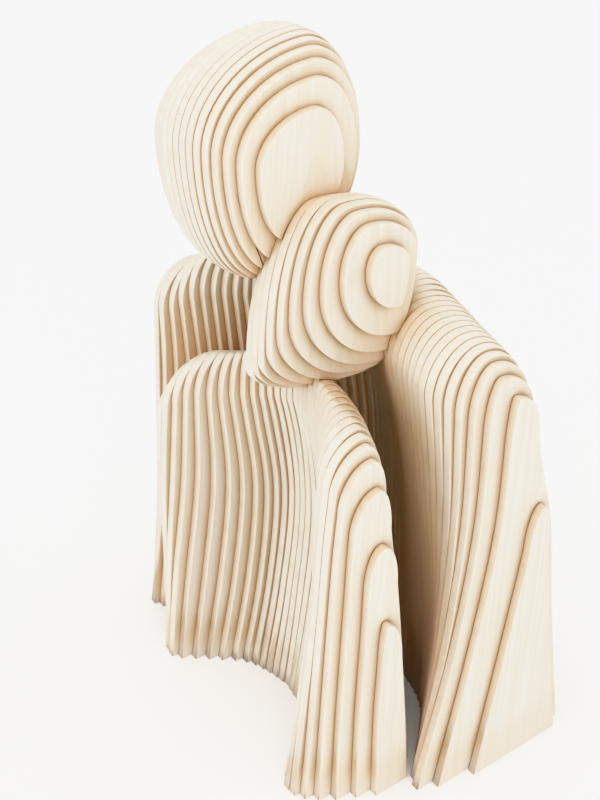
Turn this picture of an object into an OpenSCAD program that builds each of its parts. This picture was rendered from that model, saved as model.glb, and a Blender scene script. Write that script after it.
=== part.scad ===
// Sculpture of two faceless figures, a tall adult standing behind a child,
// each made of an egg-shaped head on a cloak-like body that is open to the front.
// Every form is a stack of upright boards of one thickness, glued face to face
// along X, and each board is sawn to its own outline in the YZ plane.
// Front is -Y, up is +Z, and the hems of both bodies stand on the floor plane.
// Outlines are worked out in board thicknesses and scaled to millimetres at the end.

/* [Boards] */
// thickness of every board
board = 12; // [9:1:20]
// thickness of the glue line between two boards
glue = 0.1; // [0.05:0.05:0.3]
// points along the straight part of each edge of a body board
edge_steps = 18; // [6:1:24]
// points along each rounded shoulder of a body board
shoulder_steps = 10; // [4:1:14]
// points along each quarter of a head board
quarter_steps = 15; // [6:1:20]

/* [Dowels] */
// diameter of the alignment dowels
dowel_d = 8; // [6:1:10]
// play between a dowel and its holes, on the diameter
dowel_play = 0.2; // [0.1:0.05:0.4]

/* [Lean] */
// rise of the child's shoulders from one board to the next, in board thicknesses
child_lean = 0.18; // [0:0.01:0.2]
// how far the adult's back turns from one board to the next, in board thicknesses
adult_turn = 0.19; // [0.1:0.01:0.2]

/* [Hidden] */
adult_body_nodes = 23;
child_body_nodes = 19;
adult_head_nodes = 6;
child_head_nodes = 5;
function label(stem, i) = str(stem, i < 10 ? "0" : "", i);

t = board;
// boards are numbered from the middle board of the child, number 0, towards +X
adult_first = -23;
adult_last = 22;
adult_mid = (adult_first + adult_last) / 2;
child_half = 18;
adult_head_first = -13;
adult_head_last = 2;
child_head_first = -4;
child_head_last = 9;
// the whole is centred on its bounding box in X and Y by this offset
centre_x = adult_mid;
centre_y = 8.66;
// room left around a head where it rests on a body, and around the head in front
seat_gap = 0.01;
head_gap = 0.15;

// front edge of the adult's body: heights down, board numbers across
adult_z = [0, 16, 32, 46];
adult_k = [-23, -22, -20, -18, -15, -12, -8, -4, 0, 5, 8, 12, 15, 18, 20, 21, 22];
adult_front = [
    [-2.4, -4.6, -4.8, 3.2, 6.0, 8.2, 10.4, 12.0, 12.4, 12.0, 11.5, 10.0, 7.3, 4.0, 2.2, 4.2, 8.4],
    [-1.2, -2.9, -2.6, 2.4, 5.4, 7.6, 9.8, 11.4, 12.2, 11.8, 10.8, 9.6, 8.2, 6.0, 5.7, 7.3, 11.0],
    [0.2, -2.0, -0.8, 1.4, 3.8, 6.1, 8.0, 10.4, 12.0, 10.7, 9.2, 7.7, 6.9, 6.7, 7.8, 9.6, 13.2],
    [1.4, -1.4, -1.1, 0.2, 2.5, 4.3, 4.8, 8.2, 9.7, 7.7, 6.4, 5.6, 5.1, 6.1, 7.9, 9.8, 13.8]
];
// back edge of the adult's body before the turn, against distance from the middle
adult_back_u = [0, 8, 13, 17.5, 19.5, 21.5, 22.5];
adult_back_z = [0, 18, 30, 42, 50];
adult_back = [
    [25.6, 24.6, 23.0, 21.0, 19.5, 17.6, 16.0],
    [23.2, 22.2, 20.6, 18.6, 16.4, 14.4, 12.9],
    [20.6, 19.6, 18.2, 16.3, 14.7, 12.5, 11.0],
    [18.0, 16.4, 14.2, 11.8, 10.7, 9.3, 9.9],
    [16.4, 13.4, 10.6, 8.8, 8.2, 8.4, 9.8]
];
// height of the adult's shoulder line, and the depth at which it runs
adult_top_k = [-23, -22, -21, -20, -18, -15, -8, 0, 8, 17, 19, 20, 21, 22];
adult_top_z = [36.0, 45.0, 45.5, 45.9, 47.9, 48.6, 49.8, 50.6, 51.1, 50.9, 50.1, 49.1, 47.2, 33.8];
adult_ridge_k = [-23, -22, -18, -12, -6, 0, 4, 8, 17, 20, 21, 22];
adult_ridge_y = [3.8, 3.4, 4.4, 6.4, 8.6, 13.4, 13.2, 10.0, 9.3, 9.4, 10.4, 14.4];
adult_cap = 5;
// the neck that carries the adult's head: middle board, half width, rise and depth
neck_k = -7.5;
neck_half = 4.5;
neck_rise = 6;
neck_y = 6.2;

// front edge of the child's body, by distance from its middle board
child_z = [0, 12, 24, 34, 43];
child_u = [0, 3, 6, 9, 12, 15, 18];
child_front = [
    [-0.1, -0.7, -1.9, -5.2, -8.8, -7.1, -1.8],
    [1.6, 1.5, 0.5, -2.9, -7.1, -6.4, -1.9],
    [2.8, 2.8, 1.6, -1.4, -5.5, -5.7, -1.5],
    [2.2, 1.8, 0.4, -1.9, -5.0, -5.0, -1.6],
    [0.2, -0.2, -0.9, -2.8, -4.2, -4.0, -1.7]
];
child_back = [
    [9.4, 9.2, 8.6, 7.8, 6.7, 5.1, 2.5],
    [8.2, 8.0, 7.4, 6.6, 5.4, 3.8, 1.5],
    [6.8, 6.6, 6.0, 5.2, 4.1, 2.5, 0.3],
    [5.4, 5.2, 4.6, 3.8, 2.4, 0.8, -0.5],
    [3.4, 3.2, 2.8, 2.0, 0.6, -0.4, -0.8]
];
// how far the front edges on the child's left (-X) side differ from that, board by board
child_left_u = [9, 12, 15, 18];
child_left = [
    [0, 0.4, 0.8, 0.3],
    [0, 0.05, 0, 0],
    [0, 0.15, -0.8, -0.5],
    [0, 0.45, -0.7, -0.4],
    [0, 0.3, -0.4, -0.2]
];
child_top_u = [0, 5, 9, 12, 14, 15, 16, 17, 18];
child_top_z = [43.8, 43.1, 42.1, 41.45, 40.25, 39.0, 36.15, 29.9, 20.7];
child_ridge_u = [0, 6, 12, 18];
child_ridge_y = [1.4, 0.6, -0.9, -1.1];
child_cap = 5;

// heads: front, top, back and bottom point of the middle outline, each as [y, z],
// the point that the outlines shrink towards, the middle and half the width in X,
// the two powers of the falling-off, the drift in Y and Z from board to board, and
// how much the front point rises and the bottom point moves back and up from board to board
adult_head = [[-7.4, 66.1], [3.9, 75.0], [10.0, 64.3], [-1.1, 52.0],
              [-0.9, 63.5], -5.5, 8.15, 2.4, 2.6, 0.02, 0.105, 0, 0, 0];
child_head = [[-4.2, 47.0], [1.2, 61.7], [11.0, 54.2], [5.4, 41.9],
              [3.6, 51.0], 2.4, 7.05, 1.75, 1.8, 0.2, 0.75, 1.0, 0.35, -0.4];

wood = [0.90, 0.85, 0.76];
dowel_wood = [0.78, 0.66, 0.48];

// ---- smooth curves through given values ----
function span(xs, x, i = 0) = (i >= len(xs) - 2 || x < xs[i + 1]) ? i : span(xs, x, i + 1);
function grade(xs, ys, i) =
    let (a = max(i - 1, 0), b = min(i + 1, len(xs) - 1))
    (ys[b] - ys[a]) / (xs[b] - xs[a]);
function smooth(xs, ys, x) =
    let (i = span(xs, x), h = xs[i + 1] - xs[i], s = min(max((x - xs[i]) / h, 0), 1))
    ys[i] * (2 * s - 3) * s * s + ys[i]
    + grade(xs, ys, i) * h * (s - 1) * (s - 1) * s
    + ys[i + 1] * (3 - 2 * s) * s * s
    + grade(xs, ys, i + 1) * h * (s - 1) * s * s;
function sheet(xs, zs, rows, x, z) = smooth(zs, [for (r = rows) smooth(xs, r, x)], z);

// ---- outlines of single boards, in board thicknesses ----
function neck_swell(k) =
    let (s = min(abs(k - neck_k) / neck_half, 1))
    pow(1 - s * s, 0.6);
function adult_u(k) = abs(k - adult_mid);
function adult_front_y(k, z) = sheet(adult_k, adult_z, adult_front, k, z);
function adult_back_y(k, z) =
    sheet(adult_back_u, adult_back_z, adult_back, adult_u(k), z) + adult_turn * (k - adult_mid);
function adult_top(k) =
    smooth(adult_top_k, adult_top_z, k) + neck_rise * neck_swell(k);
function adult_ridge(k) =
    smooth(adult_ridge_k, adult_ridge_y, k) * (1 - neck_swell(k)) + neck_y * neck_swell(k);
function child_front_y(k, z) =
    sheet(child_u, child_z, child_front, abs(k), z)
    + (k < 0 ? sheet(child_left_u, child_z, child_left, -k, z) : 0);
function child_back_y(k, z) = sheet(child_u, child_z, child_back, abs(k), z);
function child_top(k) = smooth(child_top_u, child_top_z, abs(k)) + child_lean * k;
function child_ridge(k) = smooth(child_ridge_u, child_ridge_y, abs(k));

// a body board: up the front edge, over the rounded shoulder and down the back edge
function body_outline(front, back, ridge, top, cap) = concat(
    [for (i = [0 : edge_steps]) [front[i], (top - cap) * i / edge_steps]],
    [for (i = [1 : shoulder_steps])
        let (a = 90 * i / shoulder_steps)
        [ridge + (front[edge_steps] - ridge) * cos(a), top - cap + cap * sin(a)]],
    [for (i = [shoulder_steps - 1 : -1 : 1])
        let (a = 90 * i / shoulder_steps)
        [ridge + (back[edge_steps] - ridge) * cos(a), top - cap + cap * sin(a)]],
    [for (i = [edge_steps : -1 : 0]) [back[i], (top - cap) * i / edge_steps]]
);
function adult_outline(k) =
    let (top = adult_top(k), zs = [for (i = [0 : edge_steps]) (top - adult_cap) * i / edge_steps])
    body_outline([for (z = zs) adult_front_y(k, z)], [for (z = zs) adult_back_y(k, z)],
        adult_ridge(k), top, adult_cap);
function child_outline(k) =
    let (top = child_top(k), zs = [for (i = [0 : edge_steps]) (top - child_cap) * i / edge_steps])
    body_outline([for (z = zs) child_front_y(k, z)], [for (z = zs) child_back_y(k, z)],
        child_ridge(k), top, child_cap);

// a head board: four quarter ellipses through the front, top, back and bottom points
function quarter(c, u, v, n) = [for (i = [0 : n - 1]) c + u * cos(90 * i / n) + v * sin(90 * i / n)];
function head_ring(h, k, n) =
    let (near = max(k - h[5], 0), turn = near + min(k - h[5], 0) / 2,
         f = h[0] + [0, h[11] * turn], top = h[1],
         b = h[2], low = h[3] + [h[12] * turn, h[13] * near])
    concat(
        quarter([top[0], f[1]], [f[0] - top[0], 0], [0, top[1] - f[1]], n),
        quarter([top[0], b[1]], [0, top[1] - b[1]], [b[0] - top[0], 0], n),
        quarter([low[0], b[1]], [b[0] - low[0], 0], [0, low[1] - b[1]], n),
        quarter([low[0], f[1]], [0, low[1] - f[1]], [f[0] - low[0], 0], n)
    );
function head_outline(h, k, grow = 0) =
    let (r = (k - h[5]) / h[6],
         s = pow(max(1 - pow(abs(r), h[7]), 0.001), 1 / h[8]) + grow / 8)
    [for (p = head_ring(h, k, quarter_steps))
        h[4] + s * (p - h[4]) + (k - h[5]) * [h[9], h[10]]];

// ---- solids ----
// one board of a stack: its outline in Y and Z, its number along X
module board_slab(outline, k, width = 1) {
    translate([t * (k - centre_x - width / 2) + glue / 2, -t * centre_y, 0])
        rotate([90, 0, 90])
            linear_extrude(t * width - glue)
                polygon(t * outline);
}

// a dowel along X at [y, z] from board k0 to board k1
module dowel(k0, k1, at, d) {
    translate([t * (k0 - centre_x), t * (at[0] - centre_y), t * at[1]])
        rotate([0, 90, 0])
            cylinder(d = d, h = t * (k1 - k0), $fn = 48);
}

// an upright peg at [y, z0] and board line k, up to z1
module peg(k, y, z0, z1, d) {
    translate([t * (k - centre_x), t * (y - centre_y), t * z0])
        cylinder(d = d, h = t * (z1 - z0), $fn = 48);
}

// the dowels and pegs, each drawn at a diameter so that the same module makes the holes
module back_dowels(d) {
    dowel(-16.4, 21.4, [15, 5], d);
    dowel(-15.4, 20.4, [14.2, 22], d);
}
module arm_dowels(d) {
    dowel(-22.4, -15.6, [6.5, 5], d);
    dowel(-22.4, -15.6, [6, 22], d);
}
module child_dowels(d) {
    dowel(-17.4, 17.4, [1.6, 4], d);
    dowel(-13.4, 13.4, [3.3, 19], d);
}
module head_dowel(d) {
    dowel(adult_head_first + 0.6, adult_head_last - 0.1, [-0.3, 63.6], d);
}
module small_head_dowel(d) {
    dowel(-2.4, 7.4, [3.4, 51.6], d);
}
module neck_peg(d) {
    peg(neck_k, neck_y + 0.4, 46, 61, d);
}
module small_neck_peg(d) {
    peg(0.5, 3.3, 34, 46, d);
}

module adult_body_board(k) {
    difference() {
        board_slab(adult_outline(k), k);
        if (abs(k - neck_k) <= neck_half + 1)
            board_slab(head_outline(adult_head, k, seat_gap), k, 1.2);
        if (k >= child_head_first && k <= child_head_last)
            board_slab(head_outline(child_head, k, head_gap), k, 1.2);
        back_dowels(dowel_d + dowel_play);
        arm_dowels(dowel_d + dowel_play);
        neck_peg(dowel_d + dowel_play);
    }
}

module child_body_board(k) {
    difference() {
        board_slab(child_outline(k), k);
        if (k >= child_head_first && k <= child_head_last)
            board_slab(head_outline(child_head, k, seat_gap), k, 1.2);
        child_dowels(dowel_d + dowel_play);
        small_neck_peg(dowel_d + dowel_play);
    }
}

module adult_head_board(k) {
    difference() {
        board_slab(head_outline(adult_head, k), k);
        if (k >= child_head_first)
            board_slab(head_outline(child_head, k, head_gap), k, 1.2);
        head_dowel(dowel_d + dowel_play);
        neck_peg(dowel_d + dowel_play);
    }
}

module child_head_board(k) {
    difference() {
        board_slab(head_outline(child_head, k), k);
        small_head_dowel(dowel_d + dowel_play);
        small_neck_peg(dowel_d + dowel_play);
    }
}

// ---- sub-parts ----
module adult_body_boards(i) {
    color(wood)
        for (k = [adult_first + 2 * (i - 1) : min(adult_first + 2 * i - 1, adult_last)])
            adult_body_board(k);
}
module child_body_boards(i) {
    color(wood)
        for (k = [2 * (i - 1) - child_half : min(2 * i - 1 - child_half, child_half)])
            child_body_board(k);
}
module adult_head_boards(i) {
    color(wood)
        for (k = [adult_head_first + 3 * (i - 1) : min(adult_head_first + 3 * i - 1, adult_head_last)])
            adult_head_board(k);
}
module child_head_boards(i) {
    color(wood)
        for (k = [child_head_first + 3 * (i - 1) : min(child_head_first + 3 * i - 1, child_head_last)])
            child_head_board(k);
}
module adult_back_dowels() { color(dowel_wood) back_dowels(dowel_d); }
module adult_arm_dowels() { color(dowel_wood) arm_dowels(dowel_d); }
module child_body_dowels() { color(dowel_wood) child_dowels(dowel_d); }
module adult_head_dowel() { color(dowel_wood) head_dowel(dowel_d); }
module child_head_dowel() { color(dowel_wood) small_head_dowel(dowel_d); }
module adult_neck_peg() { color(dowel_wood) neck_peg(dowel_d); }
module child_neck_peg() { color(dowel_wood) small_neck_peg(dowel_d); }

for (i = [1 : adult_body_nodes])
    adult_body_boards(i);
for (i = [1 : child_body_nodes])
    child_body_boards(i);
for (i = [1 : adult_head_nodes])
    adult_head_boards(i);
for (i = [1 : child_head_nodes])
    child_head_boards(i);
adult_back_dowels();
adult_arm_dowels();
child_body_dowels();
adult_head_dowel();
child_head_dowel();
adult_neck_peg();
child_neck_peg();
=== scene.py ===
# Looks of the layered board sculpture of two figures: every board of the CAD frame gets
# eased edges and smooth sides, pale wood with upright grain, and stands in a plain white studio.
import math

import bmesh
import bpy
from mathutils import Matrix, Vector


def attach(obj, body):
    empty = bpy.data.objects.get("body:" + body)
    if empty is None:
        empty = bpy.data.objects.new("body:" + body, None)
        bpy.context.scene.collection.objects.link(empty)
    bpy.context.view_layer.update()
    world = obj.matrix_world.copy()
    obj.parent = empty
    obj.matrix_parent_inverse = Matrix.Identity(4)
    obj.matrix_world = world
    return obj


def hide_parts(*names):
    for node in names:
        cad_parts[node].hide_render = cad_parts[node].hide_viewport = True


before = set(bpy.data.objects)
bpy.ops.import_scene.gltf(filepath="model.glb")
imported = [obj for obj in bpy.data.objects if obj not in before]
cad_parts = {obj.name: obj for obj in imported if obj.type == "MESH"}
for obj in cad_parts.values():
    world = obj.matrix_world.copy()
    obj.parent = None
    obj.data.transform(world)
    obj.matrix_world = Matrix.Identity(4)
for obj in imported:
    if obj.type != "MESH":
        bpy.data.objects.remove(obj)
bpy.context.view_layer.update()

# ---- the object ----
BOARD = 0.012  # thickness of a board
EASE = 0.0016  # how far the sawn arrises are eased
WELD = 5e-6  # points of the CAD mesh nearer than this are one point
FLAT = math.radians(0.4)  # faces that meet at less than this are one face
SHARP = math.radians(40)  # edges that turn more than this can be arrises
BROAD = 0.9  # a face whose normal points this much along X is the broad face of a board
STACKS = (("adult_body_boards_", 11.0), ("child_body_boards_", 23.0),
          ("adult_head_boards_", 37.0), ("child_head_boards_", 53.0))  # node names and seeds of the wood

# ---- colours, linear ----
LIGHT_WOOD = (0.66, 0.645, 0.59)
WARM_WOOD = (0.645, 0.60, 0.515)
LATE_WOOD = (0.55, 0.46, 0.355)
CLOUD_WOOD = (0.66, 0.60, 0.53)
PORE = (0.52, 0.37, 0.23)
# painted light and shade for the boards: amber bounce light deep in hollows, tan shade on ledges, darker
# shade in step corners
PAINTED_AMBER_BOUNCE = (0.98, 0.75, 0.62)
PAINTED_HOLLOW_SHADE = (0.79, 0.60, 0.33)
PAINTED_CORNER_SHADE = (0.69, 0.57, 0.42)
# painted shade in the joints between boards
PAINTED_JOINT_SHADE = (0.48, 0.37, 0.25)
BEECH_LIGHT = (0.62, 0.46, 0.29)
BEECH_DARK = (0.47, 0.31, 0.18)
WHITE_FLOOR = (0.94, 0.94, 0.94, 1)

# ---- camera and studio ----
AZIMUTH, ELEVATION = math.radians(53.94), math.radians(34.22)
CAMERA_AT = (1.0780, -0.8632, 1.3681)
LENS, SENSOR = 60.41, 36
CLIP_END = 100
FLOOR_HALF = 14.0
LAMPS_AIM = (0, 0, 0.4)
LAMPS = (("overhead", (0.6, -0.8, 3.2), 2.0, 24), ("right", (3.0, -1.0, 2.0), 1.6, 24),
         ("front", (0.3, -3.2, 1.5), 1.4, 8))  # name, place, diameter, watts
DOME_FROM = (0.35, -0.45, 0.82)  # the side where the dome is brightest
DOME_SPAN = (-0.6, 0.9)  # how far round from that side its light changes
DOME_LEVELS = (1.12, 1.45)


def link(obj):
    bpy.context.scene.collection.objects.link(obj)
    return obj


def add_camera():
    towards = Vector((math.sin(AZIMUTH) * math.cos(ELEVATION),
                      -math.cos(AZIMUTH) * math.cos(ELEVATION), math.sin(ELEVATION)))
    data = bpy.data.cameras.new("camera")
    data.sensor_fit = "VERTICAL"
    data.sensor_height = SENSOR
    data.lens = LENS
    data.clip_end = CLIP_END
    cam = link(bpy.data.objects.new("camera", data))
    cam.location = CAMERA_AT
    cam.rotation_euler = towards.to_track_quat("Z", "Y").to_euler()
    bpy.context.scene.camera = cam


class Tree:
    """A material's node tree, with short calls for the nodes that the woods are made of."""

    def __init__(self, name):
        self.mat = bpy.data.materials.new(name)
        self.mat.use_nodes = True
        self.t = self.mat.node_tree
        self.bsdf = self.t.nodes["Principled BSDF"]

    def put(self, value, socket):
        if isinstance(value, bpy.types.NodeSocket):
            self.t.links.new(value, socket)
        else:
            socket.default_value = value

    def fill(self, node, values, output=0):
        for value, socket in zip(values, node.inputs):
            self.put(value, socket)
        return node.outputs[output]

    def math(self, op, a, b=0.0, c=0.0):
        n = self.t.nodes.new("ShaderNodeMath")
        n.operation = op
        return self.fill(n, (a, b, c))

    def times(self, a, b):
        return self.math("MULTIPLY", a, b)

    def plus(self, a, b):
        return self.math("ADD", a, b)

    def vec(self, x, y, z):
        return self.fill(self.t.nodes.new("ShaderNodeCombineXYZ"), (x, y, z))

    def split(self, coordinates):
        """x, y and z of the object's own coordinates or of its normal."""
        n = self.t.nodes.new("ShaderNodeSeparateXYZ")
        self.put(self.t.nodes.new("ShaderNodeTexCoord").outputs[coordinates], n.inputs[0])
        return n.outputs

    def noise(self, vector, detail=3.0, rough=0.5, warp=0.0):
        n = self.t.nodes.new("ShaderNodeTexNoise")
        self.put(vector, n.inputs["Vector"])
        n.inputs["Scale"].default_value = 1.0
        n.inputs["Detail"].default_value = detail
        n.inputs["Roughness"].default_value = rough
        n.inputs["Distortion"].default_value = warp
        return n.outputs["Fac"]

    def white(self, w):
        n = self.t.nodes.new("ShaderNodeTexWhiteNoise")
        n.noise_dimensions = "1D"
        self.put(w, n.inputs["W"])
        return n.outputs["Value"]

    def ramp(self, fac, lo, hi, a=0.0, b=1.0):
        n = self.t.nodes.new("ShaderNodeMapRange")
        n.interpolation_type = "SMOOTHSTEP"
        return self.fill(n, (fac, lo, hi, a, b))

    def hollow(self, distance):
        """1 where a surface is shut in by its neighbours within that distance, 0 in the open."""
        n = self.t.nodes.new("ShaderNodeAmbientOcclusion")
        n.samples = 4
        n.inputs["Distance"].default_value = distance
        return self.math("SUBTRACT", 1.0, n.outputs["AO"])

    def mix(self, fac, a, b, mode="MIX"):
        n = self.t.nodes.new("ShaderNodeMix")
        n.data_type = "RGBA"
        n.blend_type = mode
        self.put(fac, n.inputs[0])
        self.put(a if isinstance(a, bpy.types.NodeSocket) else (*a, 1), n.inputs[6])
        self.put(b if isinstance(b, bpy.types.NodeSocket) else (*b, 1), n.inputs[7])
        return n.outputs[2]

    def tint(self, fac, tone, colour):
        """The tone, multiplied by a colour where fac is 1."""
        return self.mix(fac, tone, self.mix(1.0, tone, colour, "MULTIPLY"))

    def bump(self, height, strength, distance):
        n = self.t.nodes.new("ShaderNodeBump")
        n.inputs["Strength"].default_value = strength
        n.inputs["Distance"].default_value = distance
        self.put(height, n.inputs["Height"])
        self.put(n.outputs[0], self.bsdf.inputs["Normal"])


def board_wood(name, seed):
    """Pale maple-like board: grain along Z, growth rings across Y, each board from its own plank, with
    painted shade in its corners, hollows and joints and painted bounce light deep inside.
    """
    w = Tree(name)
    x, y, z = w.split("Object")
    board = w.math("FLOOR", w.math("DIVIDE", x, BOARD))
    r1, r2, r3 = (w.white(w.plus(board, seed + shift)) for shift in (0.0, 0.37, 0.71))
    # each board is cut from another place of the plank
    py = w.plus(y, w.times(r1, 7.0))
    pz = w.plus(z, w.times(r2, 9.0))

    def along(cross, length, **kind):
        """Noise with this many cells a metre across the grain and along it."""
        return w.noise(w.vec(w.times(py, cross), w.times(x, cross), w.times(pz, length)), **kind)

    # growth rings: cylinders round a pith that leans a little against the board
    lean = w.math("MULTIPLY_ADD", r3, 0.10, -0.05)
    sway = w.noise(w.vec(w.times(py, 9), x, w.times(pz, 1.6)), detail=2.0)
    across = w.plus(y, w.times(z, lean))
    across = w.plus(across, w.math("MULTIPLY_ADD", sway, 0.07, w.times(r1, 0.2)))
    depth = w.plus(w.math("MULTIPLY_ADD", r2, 0.05, 0.02), w.times(z, 0.05))
    radius = w.math("SQRT", w.plus(w.times(across, across), w.times(depth, depth)))
    rings = w.math("FRACT", w.times(radius, 210.0))
    late = w.ramp(rings, 0.45, 1.0)
    # fibres, streaks, clouds and pores, drawn out along the grain
    fibre = along(1100, 22, rough=0.6)
    streak = along(130, 3.5, rough=0.55, warp=0.2)
    cloud = along(14, 3, detail=2.0)
    pores = along(1900, 90, detail=2.0)
    tone = w.mix(w.ramp(streak, 0.30, 0.72), LIGHT_WOOD, WARM_WOOD)
    tone = w.mix(w.times(late, 0.20), tone, LATE_WOOD)
    tone = w.mix(w.ramp(fibre, 0.50, 0.80, 0.0, 0.22), tone, LATE_WOOD)
    tone = w.mix(w.ramp(pores, 0.66, 0.80, 0.0, 0.22), tone, PORE)
    tone = w.mix(w.ramp(cloud, 0.35, 0.75, 0.0, 0.25), tone, CLOUD_WOOD)
    plank = w.math("MULTIPLY_ADD", r3, 0.07, 0.95)
    tone = w.mix(1.0, tone, w.vec(plank, plank, plank), "MULTIPLY")
    # painted shade and light from occlusion: darker in the corners of the steps and tan on deep ledges,
    # where shade falls, painted amber bounce light far inside, and all of it less at the hem, which only
    # the floor shuts in
    clear = w.ramp(z, 0.0, 0.06, 0.2, 1.0)
    beside, inside = w.hollow(0.012), w.hollow(0.09)
    corner_shade_mask = w.times(w.ramp(beside, 0.06, 0.62), clear)
    hollow_shade_mask = w.times(w.ramp(inside, 0.10, 0.62), clear)
    amber_bounce_mask = w.times(w.ramp(inside, 0.50, 0.88, 0.0, 0.92), clear)
    tone = w.tint(hollow_shade_mask, tone, PAINTED_HOLLOW_SHADE)
    tone = w.mix(amber_bounce_mask, tone, PAINTED_AMBER_BOUNCE)
    tone = w.tint(corner_shade_mask, tone, PAINTED_CORNER_SHADE)
    # painted joint shade: a thin dark line on the sawn edges where the next board starts, drawn only
    # where the joint is shut in
    sawn = w.ramp(w.math("ABSOLUTE", w.split("Normal")[0]), 0.60, 0.88, 1.0, 0.0)
    phase = w.math("FRACT", w.plus(w.math("DIVIDE", x, BOARD), 0.5))
    apart = w.math("ABSOLUTE", w.math("SUBTRACT", phase, 0.5))
    joint_shade_mask = w.times(w.times(w.ramp(apart, 0.03, 0.20, 1.0, 0.0), sawn), w.ramp(beside, 0.03, 0.20))
    tone = w.tint(joint_shade_mask, tone, PAINTED_JOINT_SHADE)
    w.put(tone, w.bsdf.inputs["Base Color"])
    rough = w.plus(w.math("MULTIPLY_ADD", fibre, 0.16, 0.44), w.times(late, -0.05))
    w.put(rough, w.bsdf.inputs["Roughness"])
    w.bsdf.inputs["Specular IOR Level"].default_value = 0.35
    height = w.plus(w.times(fibre, 0.6), w.times(late, 0.35))
    height = w.math("SUBTRACT", height, w.ramp(pores, 0.62, 0.80, 0.0, 0.8))
    w.bump(height, 0.25, 0.0004)
    return w.mat


def dowel_wood():
    """Turned beech rod, darker than the boards, fibres along the rods that lie along X."""
    w = Tree("dowel_wood")
    x, y, z = w.split("Object")
    fleck = w.noise(w.vec(w.times(x, 60), w.times(y, 900), w.times(z, 900)), rough=0.6)
    w.put(w.mix(w.ramp(fleck, 0.35, 0.7), BEECH_LIGHT, BEECH_DARK), w.bsdf.inputs["Base Color"])
    w.put(w.math("MULTIPLY_ADD", fleck, 0.2, 0.45), w.bsdf.inputs["Roughness"])
    w.bump(fleck, 0.3, 0.0003)
    return w.mat


def is_arris(edge):
    """Is it an edge between a board's broad face and its sawn side?"""
    if len(edge.link_faces) != 2:
        return False
    a, b = (abs(face.normal.x) > BROAD for face in edge.link_faces)
    return a != b and edge.calc_face_angle(0) > SHARP


def finish_boards(node, name, mat):
    """A copy of a CAD node's boards with the long arrises eased and the sawn sides smooth."""
    bm = bmesh.new()
    bm.from_mesh(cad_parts[node].data)
    bmesh.ops.remove_doubles(bm, verts=bm.verts, dist=WELD)
    bmesh.ops.dissolve_limit(bm, angle_limit=FLAT, verts=bm.verts, edges=bm.edges)
    bmesh.ops.bevel(bm, geom=[e for e in bm.edges if is_arris(e)], offset=EASE, offset_type="OFFSET",
                    segments=3, profile=0.5, affect="EDGES", clamp_overlap=False)
    for face in bm.faces:
        face.smooth = True
    mesh = bpy.data.meshes.new(name)
    bm.to_mesh(mesh)
    bm.free()
    mesh.materials.append(mat)
    piece = link(bpy.data.objects.new(name, mesh))
    weigh = piece.modifiers.new("even_shading", "WEIGHTED_NORMAL")
    weigh.weight = 100
    weigh.thresh = 0.01
    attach(piece, "root")
    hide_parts(node)


def add_floor():
    mesh = bpy.data.meshes.new("floor")
    corners = [(x * FLOOR_HALF, y * FLOOR_HALF, 0) for x, y in ((-1, -1), (1, -1), (1, 1), (-1, 1))]
    mesh.from_pydata(corners, [], [(0, 1, 2, 3)])
    floor = link(bpy.data.objects.new("floor", mesh))
    w = Tree("studio_floor")
    w.bsdf.inputs["Base Color"].default_value = WHITE_FLOOR
    w.bsdf.inputs["Roughness"].default_value = 0.6
    w.bsdf.inputs["Specular IOR Level"].default_value = 0.2
    mesh.materials.append(w.mat)


def add_lamp(name, at, size, watts):
    data = bpy.data.lights.new(name, "AREA")
    data.shape = "DISK"
    data.size = size
    data.energy = watts
    lamp = link(bpy.data.objects.new(name, data))
    lamp.location = at
    lamp.rotation_euler = (Vector(at) - Vector(LAMPS_AIM)).to_track_quat("Z", "Y").to_euler()


def add_studio():
    world = bpy.data.worlds.new("studio")
    bpy.context.scene.world = world
    world.use_nodes = True
    tree = world.node_tree
    back = tree.nodes["Background"]
    back.inputs["Color"].default_value = (1, 1, 1, 1)
    # the white dome is a little brighter overhead and in front than low down behind
    along = tree.nodes.new("ShaderNodeVectorMath")
    along.operation = "DOT_PRODUCT"
    along.inputs[1].default_value = DOME_FROM
    tree.links.new(tree.nodes.new("ShaderNodeTexCoord").outputs["Generated"], along.inputs[0])
    level = tree.nodes.new("ShaderNodeMapRange")
    level.interpolation_type = "SMOOTHSTEP"
    for socket, value in zip(level.inputs[1:5], (*DOME_SPAN, *DOME_LEVELS)):
        socket.default_value = value
    tree.links.new(along.outputs["Value"], level.inputs[0])
    tree.links.new(level.outputs[0], back.inputs["Strength"])
    for lamp in LAMPS:
        add_lamp(*lamp)
    add_floor()


add_camera()
add_studio()
# keeps the white floor and the pale wood apart, without clipping
bpy.context.scene.view_settings.view_transform = "Khronos PBR Neutral"

for stem, seed in STACKS:
    wood = board_wood(stem + "wood", seed)
    for node in sorted(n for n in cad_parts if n.startswith(stem)):
        finish_boards(node, "finished_" + node, wood)
rod = dowel_wood()
for node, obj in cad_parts.items():
    if "dowel" in node or "peg" in node:
        obj.data.materials.clear()
        obj.data.materials.append(rod)
